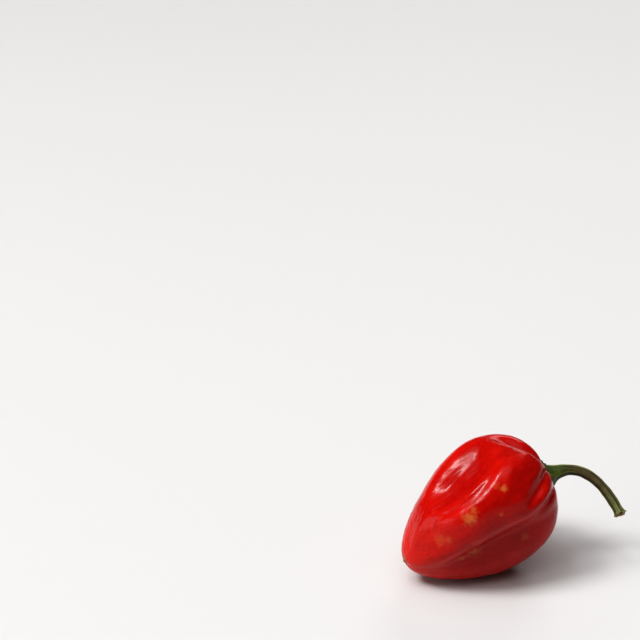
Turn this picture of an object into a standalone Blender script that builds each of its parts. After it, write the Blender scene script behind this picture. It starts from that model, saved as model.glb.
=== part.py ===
# A red habanero pepper, lying on its side as picked: the fruit, its green stem with the calyx, and the tip's scar.
# Row frame: +X runs along the fruit from its tip to its stem, +Z is up and the pepper rests on z = 0.
# All lengths are in metres and all angles in degrees.

import math
from collections import namedtuple

import bmesh
import bpy
import numpy as np
from mathutils import Vector

# The fruit's driving dimensions.
FRUIT_LENGTH = 0.0356  # from the calyx to the tip
FRUIT_RADIUS = 0.0131  # half the width at mid length, before lobes and furrows
SWELL = (0.20, 0.18, 0.18)  # shares added along the length, as powers of the cosine
BLUNTNESS = -0.18  # how far the ends are rounded off
FLATTENING = 0.96  # width over height
TIP_DROOP = 0.0044  # how far the tip hangs below the straight axis
SEAT_DEPTH = 0.0016  # how deep the calyx sits between the shoulders
SEAT_RADIUS = 0.0046
LYING_PITCH = 16.2  # how far the stem end rises above the tip as the fruit lies
FLAT_SPOT = 0.0003  # how much of the underside is pressed flat where it rests

# The stem's driving dimensions. Its path is a curve through four handles, in the frame of the lying fruit.
STEM_PATH = ((0.0171, 0, 0.0049), (0.0238, 0, 0.0069), (0.0277, -0.0030, 0.0042), (0.0286, -0.0110, -0.0009))
STEM_RADIUS = 0.00105
BASE_FLARE = (0.0013, 0.0017)  # added to the radius at the calyx, and the length over which it dies away
CUT_FLARE = (0.00032, 0.0005)
RIBS = 5
RIB_SHARE = 0.07  # height of a rib over the stem's radius
CALYX_REACH = 0.054  # how far over the skin the calyx spreads
CALYX_THICKNESS = 0.0008
SKIN_GAP = 0.0003  # room left between pieces that touch

SCAR_RADIUS = 0.00055
SCAR_PIT = (0.0009, 0.0009)  # radius and depth of the pit in the tip that holds the scar

FRUIT_MESH = (108, 48)  # segments round, rings along
STEM_MESH = (30, 46)
SCAR_MESH = (16, 10)

# Angles go round the fruit's axis: 0 is the top, 90 faces -Y, 180 lies on the surface.
# Reach is measured over the skin: 0 is the middle of the calyx, 1 is the middle of the tip.
# A fold is a furrow, or a ridge where its depth is negative. Its line runs over three angles, at its start, middle
# and end. Its width is in degrees, before and after the line, and a higher sharpness makes that side steeper.
Fold = namedtuple("Fold", "start end fade angles before after narrowing depth sharp_before sharp_after")

FOLDS = {
    "top_hollow": Fold(0.38, 0.66, 0.04, (-4, 2, 4), 13, 23, 0.1, 0.0026, 2, 4.5),
    "front_groove": Fold(0.23, 0.715, 0.13, (104, 99, 104), 12, 21, 0, 0.0040, 2.3, 2),
    "shoulder_pleat": Fold(0.12, 0.31, 0.05, (47, 59, 68), 6, 4.5, 0, 0.00085, 2, 2),
    "pleat_ridge": Fold(0.15, 0.34, 0.05, (66, 73, 76), 4, 4, 0, -0.00025, 2, 2),
    "side_pleat": Fold(0.14, 0.29, 0.05, (77, 82, 86), 4.5, 5, 0, 0.0008, 2, 2),
    "right_lobe": Fold(0.1, 0.32, 0.07, (111, 118, 123), 16, 18, 0, -0.0009, 2, 2),
    "far_shoulder": Fold(0.08, 0.29, 0.06, (33, 10, -8), 9, 7, 0, 0.0019, 2, 2.4),
    "ridge_a": Fold(0.37, 0.64, 0.06, (-16, -14, -12), 10, 9, 0, -0.0005, 2, 2),
    "ridge_b": Fold(0.34, 0.71, 0.045, (33, 48.5, 43), 8.5, 14, 0, -0.0012, 2, 2),
    "shoulder_ridge": Fold(0.22, 0.4, 0.05, (28, 35, 36), 6, 8, 0, -0.0005, 2, 2),
    "tip_ridge": Fold(0.69, 0.85, 0.045, (23, 20, 30), 10, 12, 0, -0.00065, 2, 2),
    "far_lobe": Fold(0.34, 0.5, 0.1, (-30, -26, -20), 14, 20, 0, -0.0007, 2, 2),
    "far_groove": Fold(0.15, 0.55, 0.08, (-52, -64, -66), 10, 12, 0, 0.0022, 2, 2),
    "back_groove": Fold(0.15, 0.75, 0.1, (-118, -124, -128), 13, 13, 0, 0.0024, 2, 2),
    "underside": Fold(0.33, 0.54, 0.07, (180, 180, 180), 24, 24, 0, -0.001, 2, 2),
    "waist": Fold(0.67, 0.72, 0.1, (-20, -20, -20), 50, 35, 0, 0.0005, 2, 2),
}


def window(value, start, end, fade):
    """1 between start and end, falling smoothly to 0 outside them."""
    rise = 1 / (1 + np.exp(-(value - start) / (fade / 2)))
    fall = 1 / (1 + np.exp((value - end) / (fade / 2)))
    return rise * fall


def turn_between(angle, other):
    """The shortest turn from one angle to another, in degrees."""
    return (angle - other + 180) % 360 - 180


def fold_depth(fold, reach, angle):
    """How far a fold lowers the skin at these places."""
    share = np.clip((reach - fold.start) / (fold.end - fold.start), -0.2, 1.2)
    first, middle, last = fold.angles
    line = first * (1 - share) * (1 - 2 * share) + 4 * middle * share * (1 - share)
    line = line + last * share * (2 * share - 1)
    off = turn_between(angle, line)
    width = np.where(off < 0, fold.before, fold.after) * (1 - fold.narrowing * np.clip(share, 0, 1) ** 2)
    sharpness = np.where(off < 0, fold.sharp_before, fold.sharp_after)
    across = np.exp(-(np.abs(off / width) ** sharpness) / 2)
    return fold.depth * across * window(reach, fold.start, fold.end, fold.fade)


def fruit_skin(reach, angle):
    """Points of the fruit's skin in its own frame: X along the axis, 0 at mid length, Z up."""
    turn = np.radians(reach * 180)
    along, out = np.cos(turn), np.sin(turn)
    swell = 1 + SWELL[0] * along + SWELL[1] * along**2 + SWELL[2] * along**3
    swell_slope = SWELL[0] + 2 * SWELL[1] * along + 3 * SWELL[2] * along**2
    radius = FRUIT_RADIUS * out * swell
    x = FRUIT_LENGTH / 2 * along * (1 + BLUNTNESS * out**2)
    slope_r = FRUIT_RADIUS * (along * swell - out**2 * swell_slope)
    slope_x = FRUIT_LENGTH / 2 * out * (2 * BLUNTNESS * along**2 - (1 + BLUNTNESS * out**2))
    size = np.hypot(slope_x, slope_r)
    normal_x, normal_r = slope_r / size, -slope_x / size
    x = x - np.where(along > 0, SEAT_DEPTH * np.exp(-((radius / SEAT_RADIUS) ** 2)), 0)
    depth = sum(fold_depth(fold, reach, angle) for fold in FOLDS.values())
    x = x - depth * normal_x + np.where(along < 0, SCAR_PIT[1] * np.exp(-((radius / SCAR_PIT[0]) ** 4)), 0)
    radius = radius - depth * normal_r
    around = np.radians(angle)
    droop = TIP_DROOP * ((1 - along) / 2) ** 2
    y = -radius * np.sin(around) * FLATTENING
    z = radius * np.cos(around) / FLATTENING - droop
    return np.stack([x, y, z], axis=-1)


def lie_down(points):
    """From the fruit's own frame to the frame in which it lies, with its stem end raised."""
    pitch = math.radians(LYING_PITCH)
    rise, run = math.sin(pitch), math.cos(pitch)
    turn = np.array([[run, 0, -rise], [0, 1, 0], [rise, 0, run]])
    return points @ turn.T


def sphere_mesh(segments, rings):
    """A unit sphere, with the ring (0 to rings) and the angle round the pole of each of its vertices."""
    mesh = bmesh.new()
    bmesh.ops.create_uvsphere(mesh, u_segments=segments, v_segments=rings, radius=1)
    spots = np.array([vertex.co[:] for vertex in mesh.verts])
    ring = np.rint(np.arccos(np.clip(spots[:, 2], -1, 1)) / math.pi * rings)
    angle = np.degrees(np.arctan2(spots[:, 1], spots[:, 0]))
    return mesh, ring, angle


def path_frames(count):
    """Points along the stem's path with two cross directions at each, carried along without twist."""
    share = np.linspace(0, 1, count)[:, None]
    handles = np.array(STEM_PATH)
    weights = ((1 - share) ** 3, 3 * share * (1 - share) ** 2, 3 * share**2 * (1 - share), share**3)
    spots = sum(weight * handle for weight, handle in zip(weights, handles))
    ahead = np.gradient(spots, axis=0)
    ahead /= np.linalg.norm(ahead, axis=1)[:, None]
    side = np.array([0.0, -1.0, 0.0])
    sides = []
    for direction in ahead:
        side = side - direction * side.dot(direction)
        side = side / np.linalg.norm(side)
        sides.append(side)
    sides = np.array(sides)
    return spots, np.cross(sides, ahead), sides


def calyx_points(reach, height, angle):
    """Points that stand over the skin round the stem, in the lying frame."""
    skin = fruit_skin(np.full_like(angle, reach), angle)
    return lie_down(skin + np.array([height, 0, 0]))


def stem_rows():
    """The rings of the stem, from the calyx's underside out over its rim and along to the cut end."""
    under = SKIN_GAP * 1.1
    rows = [("calyx", CALYX_REACH * share, under) for share in (0.02, 0.3, 0.6, 0.85, 1.0)]
    rows.append(("calyx", CALYX_REACH * 1.06, under + CALYX_THICKNESS * 0.45))
    rows.append(("calyx", CALYX_REACH * 1.0, under + CALYX_THICKNESS * 0.9))
    rows.append(("calyx", CALYX_REACH * 0.85, under + CALYX_THICKNESS * 1.15))
    rows.append(("calyx", CALYX_REACH * 0.72, under + CALYX_THICKNESS * 1.45))
    spans = STEM_MESH[1] - len(rows) - 3
    rows += [("shaft", (step / spans) ** 1.25, 1) for step in range(spans)]
    rows += [("shaft", 1, 1), ("shaft", 0.992, 0.72), ("shaft", 0.975, 0.36), ("shaft", 0.97, 0.002)]
    return rows


def stem_points(ring, angle):
    """A place for every vertex of the sphere that becomes the stem."""
    spots, ups, sides = path_frames(400)
    walked = np.concatenate([[0], np.cumsum(np.linalg.norm(np.diff(spots, axis=0), axis=1))])
    places = np.zeros((len(ring), 3))
    for index, (kind, where, share) in enumerate(stem_rows()):
        here = ring == index
        around = np.radians(angle[here])
        if kind == "calyx":
            places[here] = calyx_points(where, share, angle[here])
            continue
        walk = where * walked[-1]
        at = [np.array([np.interp(walk, walked, axis) for axis in table.T]) for table in (spots, ups, sides)]
        radius = STEM_RADIUS + BASE_FLARE[0] * math.exp(-walk / BASE_FLARE[1])
        radius += CUT_FLARE[0] * math.exp(-(walked[-1] - walk) / CUT_FLARE[1])
        radius = share * radius * (1 + RIB_SHARE * np.cos(RIBS * around))
        up, sideways = (radius * np.cos(around))[:, None], (radius * np.sin(around))[:, None]
        places[here] = at[0] + up * at[1] + sideways * at[2]
    return places


def scar_points(ring, angle):
    """A small rounded nub in the pit at the tip, in the lying frame."""
    turn = np.radians(ring * 180 / SCAR_MESH[1])
    around = np.radians(angle)
    tip = fruit_skin(np.array([0.9999]), np.array([0.0]))[0]
    middle = tip - np.array([SKIN_GAP + SCAR_RADIUS * 0.8, 0, 0])
    out = SCAR_RADIUS * np.sin(turn)
    forward = SCAR_RADIUS * 0.8 * np.cos(turn)
    offset = np.stack([forward, -out * np.sin(around), out * np.cos(around)], axis=-1)
    return lie_down(middle + offset)


def fruit_points(ring, angle):
    """The fruit's skin as it lies, with the spot it rests on pressed flat."""
    reach = np.clip(ring / FRUIT_MESH[1], 0.0001, 0.9999)
    places = lie_down(fruit_skin(reach, angle))
    floor = places[:, 2].min() + FLAT_SPOT
    places[:, 2] = np.maximum(places[:, 2], floor)
    return places


def skin_material(name, colour, roughness):
    """A plain material with one colour."""
    material = bpy.data.materials.new(name)
    material.use_nodes = True
    shader = material.node_tree.nodes["Principled BSDF"]
    shader.inputs["Base Color"].default_value = (*colour, 1)
    shader.inputs["Roughness"].default_value = roughness
    shader.inputs["Metallic"].default_value = 0
    return material


def add_node(name, mesh, places, material, collection):
    """Move the sphere's vertices to their places and link the closed body as one object."""
    for vertex, place in zip(mesh.verts, places):
        vertex.co = Vector(place)
    if mesh.calc_volume(signed=True) < 0:
        bmesh.ops.reverse_faces(mesh, faces=mesh.faces)
    data = bpy.data.meshes.new(name)
    mesh.to_mesh(data)
    mesh.free()
    data.shade_smooth()
    data.materials.append(material)
    node = bpy.data.objects.new(name, data)
    collection.objects.link(node)
    return node


for old in list(bpy.data.objects):
    bpy.data.objects.remove(old)

pepper = bpy.data.collections.new("habanero_pepper")
bpy.context.scene.collection.children.link(pepper)

PIECES = {
    "fruit": (FRUIT_MESH, fruit_points, skin_material("glossy red skin", (0.62, 0.012, 0.006), 0.28)),
    "stem": (STEM_MESH, stem_points, skin_material("green stem", (0.060, 0.095, 0.012), 0.55)),
    "style_scar": (SCAR_MESH, scar_points, skin_material("tan scar", (0.42, 0.22, 0.08), 0.75)),
}

meshes = {name: sphere_mesh(*size) for name, (size, shape, material) in PIECES.items()}
places = {name: PIECES[name][1](ring, angle) for name, (mesh, ring, angle) in meshes.items()}

# The origin is at the middle of the bottom of the box round the whole pepper.
corners = np.concatenate(list(places.values()))
middle = (corners.min(axis=0) + corners.max(axis=0)) / 2
origin = np.array([middle[0], middle[1], places["fruit"][:, 2].min()])

for name, (mesh, ring, angle) in meshes.items():
    add_node(name, mesh, places[name] - origin, PIECES[name][2], pepper)
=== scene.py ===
import math

import bmesh
import bpy
import numpy as np
from mathutils import Matrix, Vector, noise


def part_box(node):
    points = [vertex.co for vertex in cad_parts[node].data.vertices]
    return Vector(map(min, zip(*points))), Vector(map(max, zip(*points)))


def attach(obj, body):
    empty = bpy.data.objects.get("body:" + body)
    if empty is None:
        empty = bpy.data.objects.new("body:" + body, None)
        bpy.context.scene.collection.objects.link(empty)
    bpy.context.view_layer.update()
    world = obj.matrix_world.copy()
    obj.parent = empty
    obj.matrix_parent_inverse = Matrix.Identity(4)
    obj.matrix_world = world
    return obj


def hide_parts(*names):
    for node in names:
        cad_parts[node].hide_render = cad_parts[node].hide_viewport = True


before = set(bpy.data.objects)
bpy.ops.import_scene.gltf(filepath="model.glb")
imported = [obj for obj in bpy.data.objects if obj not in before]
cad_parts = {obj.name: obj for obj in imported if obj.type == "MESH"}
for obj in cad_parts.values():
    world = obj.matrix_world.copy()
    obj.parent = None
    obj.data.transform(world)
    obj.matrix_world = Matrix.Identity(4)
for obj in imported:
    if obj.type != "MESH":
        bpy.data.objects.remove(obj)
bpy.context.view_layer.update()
print("frame loaded")

# Lengths are in millimetres inside these dictionaries, and the meshes are made in metres.
mm = 0.001

fruitShape = {
    "length": 35.6,
    "radius": 13.1,
    "swell": (0.20, 0.18, 0.18),  # wider towards the stem
    "bluntness": -0.18,
    "flattening": 0.96,
    "tipDroop": 4.4,
    "seatDepth": 1.6,
    "seatRadius": 4.6,
    "pitch": 16.2,
    "flatSpot": 0.3,
    "segments": 400,
    "rings": 240,
    "lumps": (0.09, 4.5),  # height and size
    "wrinkles": (0.055, 0.9, 7.0),  # height, spacing round the fruit, length
    "wrinkleSharpness": 2.4,
    "wrinkledSide": (30, 0.45),  # the angle where they are highest, and their share on the other side
    "wrinkledEnd": (0.62, 0.04, 0.25),  # reach where they rise, over how much, and their share before
    "calmCalyx": (0.07, 0.05),  # no relief before this reach, and the reach over which it rises
    "calmScar": (0.975, 0.03),
    "patternSize": (50, 13),  # the length and radius that the skin's lengthwise pattern is laid out on
    "deepest": 3.0,  # folds this deep get the full painted shade in the colours
    "tipColour": (0.72, 0.2),  # reach where the tip's colour starts, and the reach over which it comes in
}

# Reach runs over the skin from the calyx (0) to the tip (1).
# Angles go round it: 0 is the top, 90 the front, 180 the bottom.
# Each fold: reach at its start and end, the fade of its ends, three angles along its line,
# its width before and after the line in degrees, how much it narrows towards its end, its depth,
# and how sharp its two sides are. A ridge has a negative depth.
folds = {
    "topHollow": (0.38, 0.66, 0.045, (-4, 2, 4), 13, 23, 0.1, 2.6, 2, 4.5),
    "frontGroove": (0.23, 0.715, 0.13, (104, 99, 104), 12.8, 20.5, 0, 4.0, 2, 2),
    "shoulderPleat": (0.12, 0.31, 0.05, (47, 59, 68), 6, 4.5, 0, 0.85, 2, 2),
    "pleatRidge": (0.15, 0.34, 0.05, (66, 73, 76), 4, 4, 0, -0.25, 2, 2),
    "sidePleat": (0.14, 0.29, 0.05, (77, 82, 86), 4.5, 5, 0, 0.8, 2, 2),
    "rightLobe": (0.1, 0.32, 0.07, (111, 118, 123), 16, 18, 0, -0.9, 2, 2),
    "farShoulder": (0.08, 0.29, 0.06, (33, 10, -8), 9, 7, 0, 1.9, 2, 2.4),
    "ridgeA": (0.37, 0.64, 0.06, (-16, -14, -12), 10, 9, 0, -0.5, 2, 2),
    "hollowRim": (0.42, 0.67, 0.05, (26, 34.5, 30), 3.5, 3, 0, -0.36, 2, 2),
    "rimValley": (0.41, 0.68, 0.05, (31, 39, 34.5), 3, 3.5, 0, 0.22, 2, 2),
    "ridgeB": (0.34, 0.71, 0.045, (33, 48.5, 43), 8.5, 14, 0, -1.2, 2, 2),
    "shoulderDimple": (0.32, 0.425, 0.03, (25, 36, 45), 3.7, 4, 0, 0.2, 2, 2),
    "shoulderRidge": (0.22, 0.4, 0.05, (28, 35, 36), 6, 8, 0, -0.5, 2, 2),
    "tipRidge": (0.69, 0.85, 0.045, (23, 20, 30), 10, 12, 0, -0.65, 2, 2),
    "farLobe": (0.34, 0.5, 0.1, (-30, -26, -20), 14, 20, 0, -0.7, 2, 2),
    "farGroove": (0.15, 0.55, 0.08, (-52, -64, -66), 10, 12, 0, 2.2, 2, 2),
    "backGroove": (0.15, 0.75, 0.1, (-118, -124, -128), 13, 13, 0, 2.4, 2, 2),
    "underside": (0.33, 0.54, 0.07, (180, 180, 180), 24, 24, 0, -1.0, 2, 2),
    "waist": (0.67, 0.72, 0.1, (-20, -20, -20), 50, 35, 0, 0.5, 2, 2),
}

stemShape = {
    "path": ((17.1, 0, 4.9), (23.8, 0, 6.9), (27.7, -3.0, 4.2), (28.6, -11.0, -0.9)),
    "radius": 1.05,
    "baseFlare": (1.3, 1.7),
    "cutFlare": (0.32, 0.5),
    "ribs": 5,
    "ribShare": 0.09,
    "twist": 0.05,
    "swells": ((0.03, 0.9, 0), (0.02, 2.3, 1)),  # share of the radius, waves along it, where they start
    "raggedCut": (0.06, 0.8),  # share of the radius at the cut end, and the length over which it dies away
    "pathPoints": 600,
    "unevenCut": 2.4,  # height of the cut face's waves, in steps between the path's points
    "calyxReach": 0.054,
    "calyxThickness": 0.5,
    "calyxGap": 0.12,
    # Over the calyx's rim: shares of its reach and of its thickness
    "calyxRim": (
        (1.05, 0.25), (1.06, 0.5), (1.03, 0.8), (0.98, 1.0),
        (0.92, 1.1), (0.85, 1.3), (0.78, 1.7), (0.73, 2.2),
    ),
    "calyxTeeth": (5, 0.10),  # how many, and their share of its reach
    "calyxWaves": ((9, 0.035, 0), (23, 0.02, 1)),
    # Over the cut end: share of the stem's length, share of its radius, and how dark it is, from its tan rim
    # in to the painted shade of a hole in its middle
    "cutRows": (
        (1.0, 1.0, 0.05), (1.003, 0.95, 0.28), (1.002, 0.87, 0.34),
        (0.997, 0.76, 0.5), (0.99, 0.64, 0.62), (0.98, 0.52, 0.8),
        (0.965, 0.38, 1.0), (0.955, 0.2, 1.0), (0.95, 0.002, 1.0),
    ),
    "segments": 120,
    "rings": 190,
}

scarShape = {
    "radius": 0.55,
    "pitRadius": 0.9,
    "pitDepth": 0.5,
    "middle": 0.28,  # how far it stands out from the pit's floor
    "flatness": 0.8,
    "uneven": 0.08,
    "segments": 40,
    "rings": 26,
}

camera = {
    "azimuth": -20.1,
    "elevation": 26,
    "distance": 374,
    "lens": 100.125,
    "sensor": 36,
    "frame": 640,  # pixels on a side
    "aimPixel": (474.7, 509.3),  # where the middle of the fruit's axis shows
}


def turnBetween(angle, other):
    return (angle - other + 180) % 360 - 180


def foldDepth(fold, reach, angle):
    start, end, fade, angles, before, after, narrowing, depth, sharpBefore, sharpAfter = fold
    share = np.clip((reach - start) / (end - start), -0.2, 1.2)
    line = angles[0] * (1 - share) * (1 - 2 * share)
    line = line + 4 * angles[1] * share * (1 - share) + angles[2] * share * (2 * share - 1)
    off = turnBetween(angle, line)
    width = np.where(off < 0, before, after) * (1 - narrowing * np.clip(share, 0, 1) ** 2)
    rise = 1 / (1 + np.exp(-(reach - start) / (fade / 2)))
    fall = 1 / (1 + np.exp((reach - end) / (fade / 2)))
    sharpness = np.where(off < 0, sharpBefore, sharpAfter)
    across = np.exp(-(np.abs(off / width) ** sharpness) / 2)
    return depth * across * rise * fall


# The skin in millimetres, in the fruit's own frame
def fruitSkin(reach, angle, pit=0.0):
    s = fruitShape
    turn = np.radians(reach * 180)
    along, out = np.cos(turn), np.sin(turn)
    a, b, c = s["swell"]
    swell = 1 + a * along + b * along**2 + c * along**3
    swellSlope = a + 2 * b * along + 3 * c * along**2
    radius = s["radius"] * out * swell
    x = s["length"] / 2 * along * (1 + s["bluntness"] * out**2)
    slopeR = s["radius"] * (along * swell - out**2 * swellSlope)
    slopeX = s["length"] / 2 * out * (2 * s["bluntness"] * along**2 - (1 + s["bluntness"] * out**2))
    size = np.hypot(slopeX, slopeR)
    normalX, normalR = slopeR / size, -slopeX / size
    x = x - np.where(along > 0, s["seatDepth"] * np.exp(-((radius / s["seatRadius"]) ** 2)), 0)
    depth = sum(foldDepth(fold, reach, angle) for fold in folds.values())
    x = x - depth * normalX
    if pit:
        x = x + np.where(along < 0, pit * np.exp(-((radius / scarShape["pitRadius"]) ** 4)), 0)
    radius = radius - depth * normalR
    around = np.radians(angle)
    droop = s["tipDroop"] * ((1 - along) / 2) ** 2
    y = -radius * np.sin(around) * s["flattening"]
    z = radius * np.cos(around) / s["flattening"] - droop
    return np.stack([x, y, z], axis=-1)


def lieDown(points):
    pitch = math.radians(fruitShape["pitch"])
    rise, run = math.sin(pitch), math.cos(pitch)
    turn = np.array([[run, 0, -rise], [0, 1, 0], [rise, 0, run]])
    return points @ turn.T


def skinGrid():
    reach, angle = np.meshgrid(np.linspace(0.001, 0.999, 180), np.arange(0, 360, 2.0), indexing="ij")
    return lieDown(fruitSkin(reach, angle)).reshape(-1, 3)


# The CAD fruit's box says where the lying fruit stands.
fruitLow, fruitHigh = (np.array(corner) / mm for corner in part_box("fruit"))
grid = skinGrid()
offset = np.array([
    fruitHigh[0] - grid[:, 0].max(),
    (fruitLow[1] + fruitHigh[1]) / 2 - (grid[:, 1].min() + grid[:, 1].max()) / 2,
    -(grid[:, 2].min() + fruitShape["flatSpot"]),
])


# From millimetres in the lying fruit's frame to metres in the whole part's frame
def inPlace(points):
    return (points + offset) * mm


def deselect():
    bpy.ops.object.select_all(action="DESELECT")


# A sphere, with each vertex's share of the way from pole to pole and its angle
def addSphere(name, segments, rings):
    deselect()
    bpy.ops.mesh.primitive_uv_sphere_add(segments=segments, ring_count=rings, radius=1, location=(0, 0, 0))
    piece = bpy.context.object
    piece.name = name
    piece.data.name = name
    count = len(piece.data.vertices)
    spots = np.zeros(count * 3)
    piece.data.vertices.foreach_get("co", spots)
    spots = spots.reshape(-1, 3)
    share = np.arccos(np.clip(spots[:, 2], -1, 1)) / math.pi
    angle = np.degrees(np.arctan2(spots[:, 1], spots[:, 0]))
    return piece, share, angle


# Moves the vertices and turns the faces outwards
def setPlaces(piece, places):
    piece.data.vertices.foreach_set("co", places.ravel())
    mesh = bmesh.new()
    mesh.from_mesh(piece.data)
    if mesh.calc_volume(signed=True) < 0:
        bmesh.ops.reverse_faces(mesh, faces=mesh.faces)
    mesh.to_mesh(piece.data)
    mesh.free()
    piece.data.shade_smooth()
    piece.data.update()


def addVectorAttribute(piece, name, values):
    attribute = piece.data.attributes.new(name, "FLOAT_VECTOR", "POINT")
    attribute.data.foreach_set("vector", np.ascontiguousarray(values, dtype=np.float32).ravel())


def addFloatAttribute(piece, name, values):
    attribute = piece.data.attributes.new(name, "FLOAT", "POINT")
    attribute.data.foreach_set("value", np.ascontiguousarray(values, dtype=np.float32))


# Fruit
def skinRelief(places, reach, angle):
    s = fruitShape
    height, size = s["lumps"]
    creaseHeight, spacing, run = s["wrinkles"]
    risesAt, risesOver, before = s["wrinkledEnd"]
    wrinkled = before + (1 - before) / (1 + np.exp(-(reach - risesAt) / risesOver))
    mostAngle, leastShare = s["wrinkledSide"]
    wrinkled *= leastShare + (1 - leastShare) * (0.5 + 0.5 * np.cos(np.radians(angle - mostAngle)))
    pitch = math.radians(s["pitch"])
    rise, level = math.sin(pitch), math.cos(pitch)
    relief = np.zeros(len(places))
    for index, (x, y, z) in enumerate(places):
        along, upward = x * level + z * rise, z * level - x * rise
        lump = noise.fractal(Vector((x / size, y / size, z / size)), 1.0, 2.0, 2)
        crease = noise.noise(Vector((along / run, y / spacing, upward / spacing)))
        crease = 1 - s["wrinkleSharpness"] * abs(crease)
        relief[index] = height * lump + creaseHeight * wrinkled[index] * crease
    return relief


def makeFruit():
    s = fruitShape
    piece, reach, angle = addSphere("fruitSkin", s["segments"], s["rings"])
    safeReach = np.clip(reach, 0.0002, 0.9998)
    places = lieDown(fruitSkin(safeReach, angle, pit=scarShape["pitDepth"]))
    setPlaces(piece, inPlace(places))
    normals = np.zeros(len(places) * 3)
    piece.data.vertex_normals.foreach_get("vector", normals)
    startsAt, startsOver = s["calmCalyx"]
    endsAt, endsOver = s["calmScar"]
    calm = np.clip((reach - startsAt) / startsOver, 0, 1) * np.clip((endsAt - reach) / endsOver, 0, 1)
    places = places + normals.reshape(-1, 3) * (skinRelief(places, reach, angle) * calm)[:, None]
    places[:, 2] = np.maximum(places[:, 2], grid[:, 2].min() + s["flatSpot"])
    setPlaces(piece, inPlace(places))
    around = np.radians(angle)
    depth = sum(foldDepth(fold, reach, angle) for fold in folds.values())
    long, wide = s["patternSize"]
    skinCoord = np.stack([reach * long, wide * np.cos(around), wide * np.sin(around)], axis=-1)
    addVectorAttribute(piece, "skinCoord", skinCoord)
    # Painted shade: how deep the folds sink here, for darkening the skin's colour in the hollows and grooves
    addFloatAttribute(piece, "paintedHollowShade", np.clip(depth / s["deepest"], 0, 1))
    tipFrom, tipOver = s["tipColour"]
    addFloatAttribute(piece, "nearTip", np.clip((reach - tipFrom) / tipOver, 0, 1))
    return piece


fruit = makeFruit()
print("fruit shaped")


# Stem and calyx
def stemFrames(count):
    share = np.linspace(0, 1, count)[:, None]
    handles = np.array(stemShape["path"], dtype=float)
    weights = ((1 - share) ** 3, 3 * share * (1 - share) ** 2, 3 * share**2 * (1 - share), share**3)
    spots = sum(weight * handle for weight, handle in zip(weights, handles))
    ahead = np.gradient(spots, axis=0)
    ahead /= np.linalg.norm(ahead, axis=1)[:, None]
    side = np.array([0.0, -1.0, 0.0])
    sides = []
    for direction in ahead:
        side = side - direction * side.dot(direction)
        side = side / np.linalg.norm(side)
        sides.append(side)
    sides = np.array(sides)
    return spots, np.cross(sides, ahead), sides


def stemRows():
    s = stemShape
    reachOf, under = s["calyxReach"], s["calyxGap"]
    rows = [("calyx", reachOf * step, under) for step in np.linspace(0.02, 1, 10)]
    rows += [("calyx", reachOf * step, under + s["calyxThickness"] * rise) for step, rise in s["calyxRim"]]
    spans = s["rings"] - len(rows) - len(s["cutRows"]) + 1
    rows += [("shaft", (step / spans) ** 1.15, 1) for step in range(spans)]  # closer together at the calyx
    rows += [("cut", where, size) for where, size, shade in s["cutRows"]]
    return rows


def calyxWave(around):
    teeth, toothHeight = stemShape["calyxTeeth"]
    wave = 1 + toothHeight * np.clip(np.cos(teeth * around + 0.6), 0, 1) ** 3
    for count, height, start in stemShape["calyxWaves"]:
        wave = wave + height * np.cos(count * around + start)
    return wave


def makeStem():
    s = stemShape
    piece, share, angle = addSphere("stemAndCalyx", s["segments"], s["rings"])
    ring = np.rint(share * s["rings"]).astype(int)
    rows = stemRows()
    shades = [0] * (len(rows) - len(s["cutRows"])) + [shade for where, size, shade in s["cutRows"]]
    spots, ups, sides = stemFrames(s["pathPoints"])
    steps = np.gradient(spots, axis=0)
    walked = np.concatenate([[0], np.cumsum(np.linalg.norm(np.diff(spots, axis=0), axis=1))])
    length = walked[-1]
    places = np.zeros((len(ring), 3))
    alongStem, cutFace, ribHeight = np.zeros(len(ring)), np.zeros(len(ring)), np.zeros(len(ring))
    for index, (kind, where, size) in enumerate(rows):
        here = ring == index
        around = np.radians(angle[here])
        if kind == "calyx":
            skin = fruitSkin(where * calyxWave(around), angle[here])
            places[here] = lieDown(skin + np.array([size, 0, 0]))
            alongStem[here] = -1 + index / 40  # below 0, so that the calyx has its own colours
            continue
        walk = where * length
        at = [np.array([np.interp(walk, walked, axis) for axis in table.T]) for table in (spots, ups, sides)]
        radius = s["radius"] + s["baseFlare"][0] * math.exp(-walk / s["baseFlare"][1])
        radius += s["cutFlare"][0] * math.exp(-(length - walk) / s["cutFlare"][1])
        twist = s["twist"] * walk
        ribs = 0.6 * np.cos(s["ribs"] * around + twist) + 0.4 * np.cos((s["ribs"] + 3) * around - twist + 1)
        ragged = s["raggedCut"][0] * np.cos(3 * around + 0.5) * math.exp(-(length - walk) / s["raggedCut"][1])
        swell = sum(height * math.sin(walk * waves + start) for height, waves, start in s["swells"])
        radius = size * radius * (1 + swell + ragged + s["ribShare"] * ribs)
        upward, sideways = (radius * np.cos(around))[:, None], (radius * np.sin(around))[:, None]
        places[here] = at[0] + upward * at[1] + sideways * at[2]
        if kind == "cut":
            places[here] += (s["unevenCut"] * np.cos(4 * around + 1) * size)[:, None] * steps[-1]
        alongStem[here] = walk
        cutFace[here] = shades[index]
        ribHeight[here] = ribs
    setPlaces(piece, inPlace(places))
    turn = np.radians(angle)
    addFloatAttribute(piece, "alongStem", alongStem)
    addVectorAttribute(piece, "stemCoord", np.stack([alongStem, np.cos(turn), np.sin(turn)], axis=-1))
    addFloatAttribute(piece, "ribHeight", ribHeight)
    addFloatAttribute(piece, "cutFace", cutFace)
    return piece


stem = makeStem()
print("stem shaped")


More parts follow.
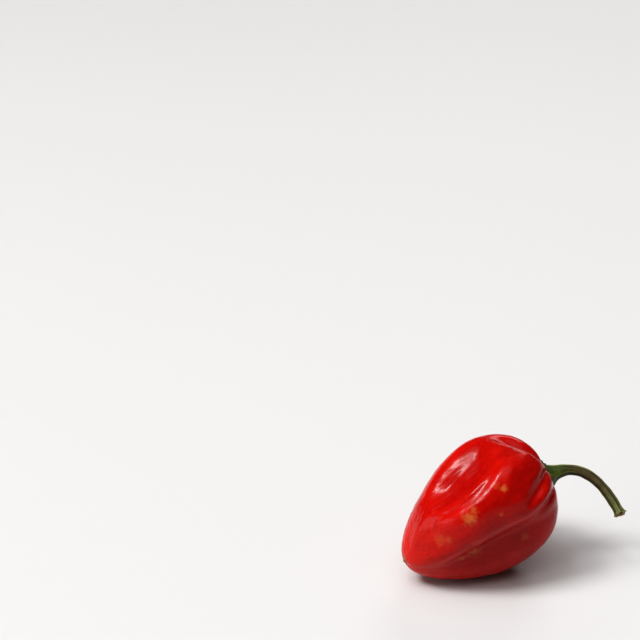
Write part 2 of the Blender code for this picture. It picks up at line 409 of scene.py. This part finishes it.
# Scar
def makeScar():
    s = scarShape
    piece, share, angle = addSphere("tipScar", s["segments"], s["rings"])
    turn = share * math.pi
    around = np.radians(angle)
    tip = fruitSkin(np.array([0.9998]), np.array([0.0]), pit=s["pitDepth"])[0]
    middle = tip - np.array([s["middle"], 0, 0])
    out = s["radius"] * np.sin(turn) * (1 + s["uneven"] * np.cos(3 * around))
    along = s["radius"] * s["flatness"] * np.cos(turn)
    bump = np.stack([along, -out * np.sin(around), out * np.cos(around)], axis=-1)
    setPlaces(piece, inPlace(lieDown(middle + bump)))
    return piece


scar = makeScar()
print("scar shaped")


# Materials
def newMaterial(name):
    material = bpy.data.materials.new(name)
    material.use_nodes = True
    return material, material.node_tree, material.node_tree.nodes["Principled BSDF"]


# A node whose sockets are linked to other sockets or set to plain values
def addNode(tree, kind, sockets=None, **settings):
    made = tree.nodes.new("ShaderNode" + kind)
    for name, value in settings.items():
        setattr(made, name, value)
    for name, value in (sockets or {}).items():
        if isinstance(value, bpy.types.NodeSocket):
            tree.links.new(value, made.inputs[name])
        else:
            made.inputs[name].default_value = value
    return made


def mixColours(tree, factor, first, second):
    return addNode(tree, "Mix", {0: factor, 6: first, 7: second}, data_type="RGBA").outputs[2]


def remap(tree, value, low, high, newLow=0.0, newHigh=1.0):
    sockets = {"Value": value, "From Min": low, "From Max": high, "To Min": newLow, "To Max": newHigh}
    return addNode(tree, "MapRange", sockets, interpolation_type="SMOOTHSTEP").outputs["Result"]


def combine(tree, operation, first, second):
    return addNode(tree, "Math", {0: first, 1: second}, operation=operation).outputs[0]


def readAttribute(tree, name):
    return addNode(tree, "Attribute", attribute_name=name)


def newGroup(name, inputs, outputs):
    group = bpy.data.node_groups.new(name, "ShaderNodeTree")
    for direction, sockets in (("INPUT", inputs), ("OUTPUT", outputs)):
        for label, kind in sockets:
            group.interface.new_socket(label, in_out=direction, socket_type="NodeSocket" + kind)
    return group, group.nodes.new("NodeGroupInput").outputs, group.nodes.new("NodeGroupOutput").inputs


def cloud(tree, vector, scale, detail, roughness):
    sockets = {"Vector": vector, "Scale": scale, "Detail": detail, "Roughness": roughness}
    return addNode(tree, "TexNoise", sockets).outputs["Fac"]


def makePatches():
    group, given, out = newGroup(
        "softPatches",
        (("Vector", "Vector"), ("Per Millimetre", "Float"), ("Low", "Float"), ("High", "Float")),
        (("Mask", "Float"),),
    )
    cloudy = cloud(group, given["Vector"], given["Per Millimetre"], 3.0, 0.5)
    mask = remap(group, cloudy, given["Low"], given["High"])
    group.links.new(mask, out["Mask"])
    return group


spotEdge = {
    "ragged": (1.3, 4.0, 0.65),  # scale, detail and roughness of the noise
    "noiseRange": (0.25, 0.75),
    "raggedness": 0.45,  # share of the spot's radius
    "fade": (1.5, 0.1),  # shares of the radius where the spot ends and where it is full
}


def makeSpot():
    group, given, out = newGroup(
        "raggedSpot",
        (("Vector", "Vector"), ("Centre", "Vector"), ("Radius", "Float"), ("Strength", "Float")),
        (("Mask", "Float"),),
    )
    ragged = cloud(group, given["Vector"], *spotEdge["ragged"])
    uneven = remap(group, ragged, *spotEdge["noiseRange"], -spotEdge["raggedness"], spotEdge["raggedness"])
    ends = {0: given["Vector"], 1: given["Centre"]}
    away = addNode(group, "VectorMath", ends, operation="DISTANCE").outputs["Value"]
    share = combine(group, "ADD", combine(group, "DIVIDE", away, given["Radius"]), uneven)
    mask = combine(group, "MULTIPLY", remap(group, share, *spotEdge["fade"]), given["Strength"])
    group.links.new(mask, out["Mask"])
    return group


softPatches, raggedSpot = makePatches(), makeSpot()


def patches(tree, vector, perMillimetre, low, high):
    sockets = {"Vector": vector, "Per Millimetre": perMillimetre, "Low": low, "High": high}
    return addNode(tree, "Group", sockets, node_tree=softPatches).outputs["Mask"]


# The height is in millimetres
def addBump(tree, pattern, strength, height, under=None):
    sockets = {"Height": pattern, "Strength": strength, "Distance": height * mm}
    if under:
        sockets["Normal"] = under
    return addNode(tree, "Bump", sockets).outputs["Normal"]


def inMillimetres(tree):
    place = addNode(tree, "TexCoord").outputs["Object"]
    return addNode(tree, "Mapping", {"Vector": place, "Scale": (1 / mm, 1 / mm, 1 / mm)}).outputs["Vector"]


def stretch(tree, vector, share):
    return addNode(tree, "Mapping", {"Vector": vector, "Scale": (share, 1, 1)}).outputs["Vector"]


noiseRange = (0.3, 0.7)  # most of a noise pattern lies between these


def blend(tree, mask, share, colour, other):
    return mixColours(tree, combine(tree, "MULTIPLY", mask, share), colour, other)


# In the looks below, patches and streaks give how many in a millimetre, and the pattern's values
# where they start and where they are full. Noises give a scale, detail and roughness.
skinLook = {
    "red": (0.45, 0.0042, 0.0018, 1),
    "deepRed": (0.28, 0.0015, 0.0010, 1),
    "brightRed": (0.58, 0.010, 0.0022, 1),
    "paleOrange": (0.52, 0.13, 0.035, 1),
    "speck": (0.16, 0.03, 0.01, 1),
    "widePatches": (0.16, 0.36, 0.66),
    "finePatches": (0.9, 0.3, 0.72),
    "streaks": (0.9, 0.35, 0.7),
    "streakStretch": 0.14,  # how closely the streaks repeat along the fruit, over how closely across it
    "wideShare": 0.6,  # how much of its own colour each of these adds
    "fineShare": 0.3,
    "streakShare": 0.25,
    "tipShare": 0.6,
    # painted shade, darker red down in the hollows and grooves
    "hollowShadeShare": 0.55,
    "roughness": (0.15, 0.24),
    "markRoughness": 0.15,  # added on the pale markings
    "gloss": 0.17,
    "peel": (2.6, 3.0, 0.6),
    "peelHeight": 0.025,
    "creases": (1.5, 3.0, 0.55),
    "creaseHeight": 0.05,
    "bumpStrength": 0.5,
    # Each marking: reach, angle, radius in millimetres, strength
    "markings": (
        (0.405, 47, 0.75, 0.9), (0.585, 53, 1.35, 0.8), (0.56, 50, 0.9, 0.5), (0.73, 56, 1.4, 0.26),
        (0.70, 61, 0.9, 0.3), (0.63, 97, 1.5, 0.4), (0.69, 100, 0.9, 0.3), (0.46, 64, 0.5, 0.45),
        (0.43, 42, 0.7, 0.25), (0.36, 112, 0.9, 0.25), (0.55, 150, 1.5, 0.45), (0.30, -95, 1.2, 0.5),
        (0.52, -70, 1.7, 0.35), (0.68, -140, 1.1, 0.45), (0.42, -160, 1.0, 0.35),
    ),
    "specks": ((0.602, 56, 0.22, 1.0), (0.535, -73, 0.2, 0.8)),
}


def skinSpot(reach, angle):
    return Vector(inPlace(lieDown(fruitSkin(np.array([reach]), np.array([angle]))))[0] / mm)


def markSkin(tree, place, mark):
    reach, angle, radius, strength = mark
    sockets = {"Vector": place, "Centre": skinSpot(reach, angle), "Radius": radius, "Strength": strength}
    return addNode(tree, "Group", sockets, node_tree=raggedSpot).outputs["Mask"]


def habaneroSkin():
    look = skinLook
    material, tree, shader = newMaterial("habaneroSkin")
    place = inMillimetres(tree)
    skin = readAttribute(tree, "skinCoord").outputs["Vector"]
    lengthwise = stretch(tree, skin, look["streakStretch"])
    paintedHollowShade = readAttribute(tree, "paintedHollowShade").outputs["Fac"]
    tip = readAttribute(tree, "nearTip").outputs["Fac"]

    wide = patches(tree, place, *look["widePatches"])
    fine = patches(tree, place, *look["finePatches"])
    streaks = patches(tree, lengthwise, *look["streaks"])
    colour = blend(tree, wide, look["wideShare"], look["red"], look["deepRed"])
    colour = blend(tree, fine, look["fineShare"], colour, look["brightRed"])
    colour = blend(tree, streaks, look["streakShare"], colour, look["deepRed"])
    colour = blend(tree, tip, look["tipShare"], colour, look["brightRed"])
    # Painted shade: the skin is darker red down in the hollows and grooves
    colour = blend(tree, paintedHollowShade, look["hollowShadeShare"], colour, look["deepRed"])

    marks = markSkin(tree, place, look["markings"][0])
    for mark in look["markings"][1:]:
        marks = combine(tree, "MAXIMUM", marks, markSkin(tree, place, mark))
    colour = mixColours(tree, marks, colour, look["paleOrange"])
    for speck in look["specks"]:
        colour = mixColours(tree, markSkin(tree, place, speck), colour, look["speck"])
    tree.links.new(colour, shader.inputs["Base Color"])

    peel = cloud(tree, place, *look["peel"])
    creases = cloud(tree, lengthwise, *look["creases"])
    rough = remap(tree, peel, *noiseRange, *look["roughness"])
    rough = combine(tree, "ADD", rough, combine(tree, "MULTIPLY", marks, look["markRoughness"]))
    tree.links.new(rough, shader.inputs["Roughness"])
    under = addBump(tree, creases, look["bumpStrength"], look["creaseHeight"])
    over = addBump(tree, peel, look["bumpStrength"], look["peelHeight"], under)
    tree.links.new(over, shader.inputs["Normal"])
    shader.inputs["Specular IOR Level"].default_value = look["gloss"]
    return material


stemLook = {
    "alongColours": (
        (-1.0, (0.035, 0.016, 0.006, 1)),  # the calyx's thin dry rim
        (-0.75, (0.10, 0.085, 0.02, 1)),
        (-0.5, (0.06, 0.085, 0.008, 1)),
        (1.5, (0.06, 0.105, 0.007, 1)),
        (5.0, (0.055, 0.044, 0.009, 1)),
        (10.0, (0.065, 0.042, 0.013, 1)),
        (15.0, (0.075, 0.064, 0.014, 1)),
        (19.5, (0.085, 0.10, 0.018, 1)),
    ),
    "streak": (0.22, 0.23, 0.035, 1),
    # A painted highlight for the rib tops
    "ridge": (0.16, 0.18, 0.022, 1),
    # Dark brown for stains, and as painted shade in the grooves between the ribs
    "stainAndGrooveShade": (0.012, 0.009, 0.004, 1),
    "cutRim": (0.30, 0.18, 0.075, 1),
    # Painted shade that stands for a hole in the middle of the cut end
    "cutHoleShade": (0.018, 0.010, 0.005, 1),
    "streaks": (3.2, 0.52, 0.72),
    "streakStretch": 0.06,
    "streakShare": 0.5,
    "stains": (0.7, 0.42, 0.7),
    "stainShare": 0.5,
    # Rib heights where the painted highlight on the rib tops and the painted shade in the grooves start and
    # are strongest, and their shares there
    "onRidges": (0.35, 0.9, 0, 0.6),
    "inGrooves": (0.0, -0.8, 0, 0.85),
    # How dark the cut end is where its tan rim and the painted shade of its hole start and are full
    "onCutRim": (0.02, 0.25),
    "inCutHoleShade": (0.55, 0.85),
    "roughness": (0.35, 0.62),
    "gloss": 0.35,
    "fibres": (6.0, 4.0, 0.6),
    "fibreHeight": 0.12,
    "bumpStrength": 0.8,
}


def greenStem():
    look = stemLook
    material, tree, shader = newMaterial("greenStem")
    along = readAttribute(tree, "alongStem").outputs["Fac"]
    coord = readAttribute(tree, "stemCoord").outputs["Vector"]
    ribs = readAttribute(tree, "ribHeight").outputs["Fac"]
    cut = readAttribute(tree, "cutFace").outputs["Fac"]
    lengthwise = stretch(tree, coord, look["streakStretch"])
    low, high = look["alongColours"][0][0], look["alongColours"][-1][0]
    share = addNode(tree, "MapRange", {"Value": along, "From Min": low, "From Max": high}).outputs["Result"]
    ramp = addNode(tree, "ValToRGB", {"Fac": share})
    for index, (where, tone) in enumerate(look["alongColours"]):
        spot = (where - low) / (high - low)
        if index in (0, len(look["alongColours"]) - 1):
            stop = ramp.color_ramp.elements[0 if index == 0 else -1]
            stop.position = spot
        else:
            stop = ramp.color_ramp.elements.new(spot)
        stop.color = tone
    streaks = patches(tree, lengthwise, *look["streaks"])
    stains = patches(tree, coord, *look["stains"])
    colour = blend(tree, stains, look["stainShare"], ramp.outputs["Color"], look["stainAndGrooveShade"])
    colour = blend(tree, streaks, look["streakShare"], colour, look["streak"])
    # Painted highlight along the rib tops, and painted shade down in the grooves between them
    colour = mixColours(tree, remap(tree, ribs, *look["onRidges"]), colour, look["ridge"])
    colour = mixColours(tree, remap(tree, ribs, *look["inGrooves"]), colour, look["stainAndGrooveShade"])
    colour = mixColours(tree, remap(tree, cut, *look["onCutRim"]), colour, look["cutRim"])
    # Painted shade: the middle of the cut end is dark, like the inside of a hole
    colour = mixColours(tree, remap(tree, cut, *look["inCutHoleShade"]), colour, look["cutHoleShade"])
    tree.links.new(colour, shader.inputs["Base Color"])
    fibres = cloud(tree, lengthwise, *look["fibres"])
    tree.links.new(remap(tree, fibres, *noiseRange, *look["roughness"]), shader.inputs["Roughness"])
    tree.links.new(addBump(tree, fibres, look["bumpStrength"], look["fibreHeight"]), shader.inputs["Normal"])
    shader.inputs["Specular IOR Level"].default_value = look["gloss"]
    return material


corkLook = {
    "tan": (0.40, 0.20, 0.07, 1),
    "brown": (0.13, 0.055, 0.02, 1),
    "mottling": (2.5, 0.35, 0.65),
    "roughness": (0.6, 0.9),
    "grit": (5.0, 4.0, 0.5),
    "gritHeight": 0.1,
    "bumpStrength": 0.8,
}


def tanCork():
    look = corkLook
    material, tree, shader = newMaterial("tanCork")
    place = inMillimetres(tree)
    colour = mixColours(tree, patches(tree, place, *look["mottling"]), look["tan"], look["brown"])
    tree.links.new(colour, shader.inputs["Base Color"])
    grit = cloud(tree, place, *look["grit"])
    tree.links.new(remap(tree, grit, *noiseRange, *look["roughness"]), shader.inputs["Roughness"])
    tree.links.new(addBump(tree, grit, look["bumpStrength"], look["gritHeight"]), shader.inputs["Normal"])
    return material


fruit.data.materials.append(habaneroSkin())
stem.data.materials.append(greenStem())
scar.data.materials.append(tanCork())
print("materials made")

pieces = ((fruit, "fruit", "red_skin"), (stem, "stem", "green_stem"), (scar, "style_scar", "tan_scar"))
for piece, node, slotName in pieces:
    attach(piece, "root")
    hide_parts(node)

# Camera
azimuth, elevation = math.radians(camera["azimuth"]), math.radians(camera["elevation"])
back = Vector((
    math.sin(azimuth) * math.cos(elevation),
    -math.cos(azimuth) * math.cos(elevation),
    math.sin(elevation),
))
look = -back
right = look.cross(Vector((0, 0, 1))).normalized()
up = right.cross(look)
focal = camera["lens"] / camera["sensor"] * camera["frame"]
across, down = (pixel - camera["frame"] / 2 for pixel in camera["aimPixel"])
ray = look + right * (across / focal) - up * (down / focal)
aim = Vector(offset) * mm
place = aim - ray * camera["distance"] * mm
bpy.ops.object.camera_add(location=place)
eye = bpy.context.object
eye.name = "photoCamera"
eye.data.lens = camera["lens"]
eye.data.sensor_width = camera["sensor"]
eye.rotation_mode = "QUATERNION"
eye.rotation_quaternion = Matrix((right, up, back)).transposed().to_quaternion()
eye.data.clip_start = 0.01
bpy.context.scene.camera = eye

# Floor and light
# A lamp's direction is to the right, away from the camera, and up. Its size and power are for 1 metre.
# The lamps stand at the distance below, in metres, and grow with it.
studio = {
    "lamps": {
        "key": {"toward": (-0.34, -0.08, 0.94), "size": (1.0, 1.0), "power": 2.6},
        "core": {"toward": (-0.55, -0.17, 0.80), "size": (0.27, 0.27), "power": 6.2},
        "glint": {"toward": (-0.30, -0.12, 0.94), "size": (0.26, 0.26), "power": 2.0},
        "low": {"toward": (-0.92, -0.30, 0.26), "size": (0.8, 0.45), "power": 2.4},
        "top": {"toward": (0.12, -0.15, 0.98), "size": (0.9, 0.9), "power": 2.4},
        "far": {"toward": (0.25, 0.80, 0.5), "size": (0.5, 0.3), "power": 1.6},
    },
    "distance": 1.8,
    "worldColour": (1, 0.78, 0.72, 1),
    "worldStrength": 0.05,
    "floorSize": 4,
    "floorColour": (0.60, 0.597, 0.595, 1),
    "floorRoughness": 0.6,
}

deselect()
bpy.ops.mesh.primitive_plane_add(size=studio["floorSize"], location=(0, 0, 0))
floor = bpy.context.object
floor.name = "paleFloor"
floorMaterial, tree, shader = newMaterial("paleFloor")
shader.inputs["Base Color"].default_value = studio["floorColour"]
shader.inputs["Roughness"].default_value = studio["floorRoughness"]
floor.data.materials.append(floorMaterial)

away = Vector((look.x, look.y, 0)).normalized()
for name, item in studio["lamps"].items():
    sideways, onward, upward = item["toward"]
    spot = (right * sideways + away * onward + Vector((0, 0, upward))) * studio["distance"]
    bpy.ops.object.light_add(type="AREA", location=spot)
    lamp = bpy.context.object
    lamp.name = name + "Light"
    lamp.data.shape = "RECTANGLE"
    lamp.data.size, lamp.data.size_y = (side * studio["distance"] for side in item["size"])
    lamp.data.energy = item["power"] * studio["distance"] ** 2
    lamp.rotation_mode = "QUATERNION"
    lamp.rotation_quaternion = (-spot).to_track_quat("-Z", "Y")

world = bpy.data.worlds.new("studio")
bpy.context.scene.world = world
world.use_nodes = True
world.node_tree.nodes["Background"].inputs["Color"].default_value = studio["worldColour"]
world.node_tree.nodes["Background"].inputs["Strength"].default_value = studio["worldStrength"]
bpy.context.scene.view_settings.view_transform = "Standard"
bpy.context.scene.view_settings.look = "Medium High Contrast"
print("camera, floor and light set")
